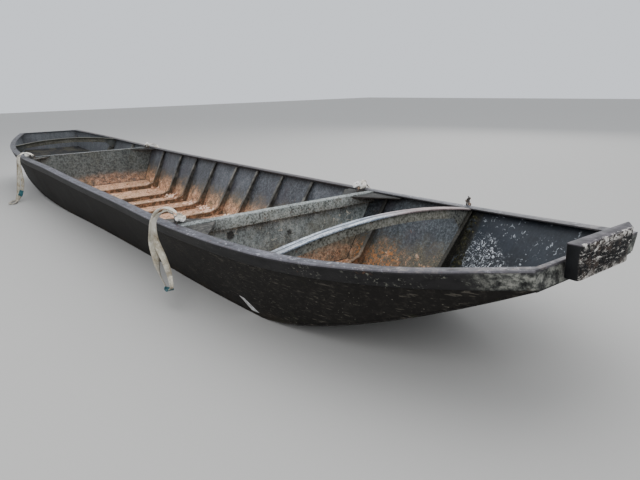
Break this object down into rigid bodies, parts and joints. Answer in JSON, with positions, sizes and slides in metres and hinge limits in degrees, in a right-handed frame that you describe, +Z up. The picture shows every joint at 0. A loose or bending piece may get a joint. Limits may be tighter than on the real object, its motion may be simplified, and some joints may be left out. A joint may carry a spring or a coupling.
{
  "type": "flat-bottomed scow",
  "caption": "Open steel flat-bottomed work scow: raked ends, square transoms, framed hold between bulkheads, arched beams, bow fender and webbing lifting slings.",
  "frame": {"origin": "middle of the underside of the flat bottom, halfway between the outer faces of the two end rub bands", "axes": "+X toward the bow, +Y to port, +Z up"},
  "size_m": [7.6552, 1.7183, 0.64],
  "materials": {
    "tar": "worn tar coating, satin",
    "tar_bottom": "worn tar coating, matt",
    "inside": "old tar coating, dusty",
    "gunwale": "coating rubbed thin",
    "cap": "coating with green growth",
    "rusty": "coating lost to rust",
    "block": "satin with scuffs",
    "webbing": "soiled webbing"
  },
  "bodies": {
    "root": {"bottom_plate": "tar_bottom", "bow_rake_plate": "tar_bottom", "stern_rake_plate": "tar_bottom", "port_side_plate_fore": "tar", "port_side_plate_aft": "tar", "port_gunwale_bar_fore": "gunwale", "port_rub_band_fore": "tar", "port_gunwale_bar_aft": "gunwale", "port_rub_band_aft": "tar", "starboard_side_plate_fore": "tar", "starboard_side_plate_aft": "tar", "starboard_gunwale_bar_fore": "gunwale", "starboard_rub_band_fore": "tar", "starboard_gunwale_bar_aft": "gunwale", "starboard_rub_band_aft": "tar", "bow_transom": "tar", "bow_gunwale_bar": "gunwale", "bow_rub_band": "tar", "stern_transom": "tar", "stern_gunwale_bar": "gunwale", "stern_rub_band": "tar", "hold_frame_1": "rusty", "hold_frame_2": "rusty", "hold_frame_3": "rusty", "hold_frame_4": "rusty", "hold_frame_5": "rusty", "hold_frame_6": "rusty", "hold_frame_7": "rusty", "hold_frame_8": "rusty", "hold_frame_9": "rusty", "fore_compartment_frame": "inside", "aft_compartment_frame": "inside", "fore_bulkhead": "inside", "fore_bulkhead_cap": "cap", "fore_lifting_lug_port": "rusty", "fore_gusset_bow_port": "cap", "fore_gusset_stern_port": "cap", "fore_sling_port": "webbing", "fore_lifting_lug_starboard": "rusty", "fore_gusset_bow_starboard": "cap", "fore_gusset_stern_starboard": "cap", "fore_sling_starboard": "webbing", "fore_beam_web": "inside", "fore_beam_flange": "gunwale", "fore_beam_frame": "inside", "aft_bulkhead": "inside", "aft_bulkhead_cap": "cap", "aft_lifting_lug_port": "rusty", "aft_gusset_bow_port": "cap", "aft_gusset_stern_port": "cap", "aft_sling_port": "webbing", "aft_lifting_lug_starboard": "rusty", "aft_gusset_bow_starboard": "cap", "aft_gusset_stern_starboard": "cap", "aft_sling_starboard": "webbing", "aft_beam_web": "inside", "aft_beam_flange": "gunwale", "aft_beam_frame": "inside", "bow_fender": "block", "fender_bracket": "rusty"}
  },
  "joints": []
}
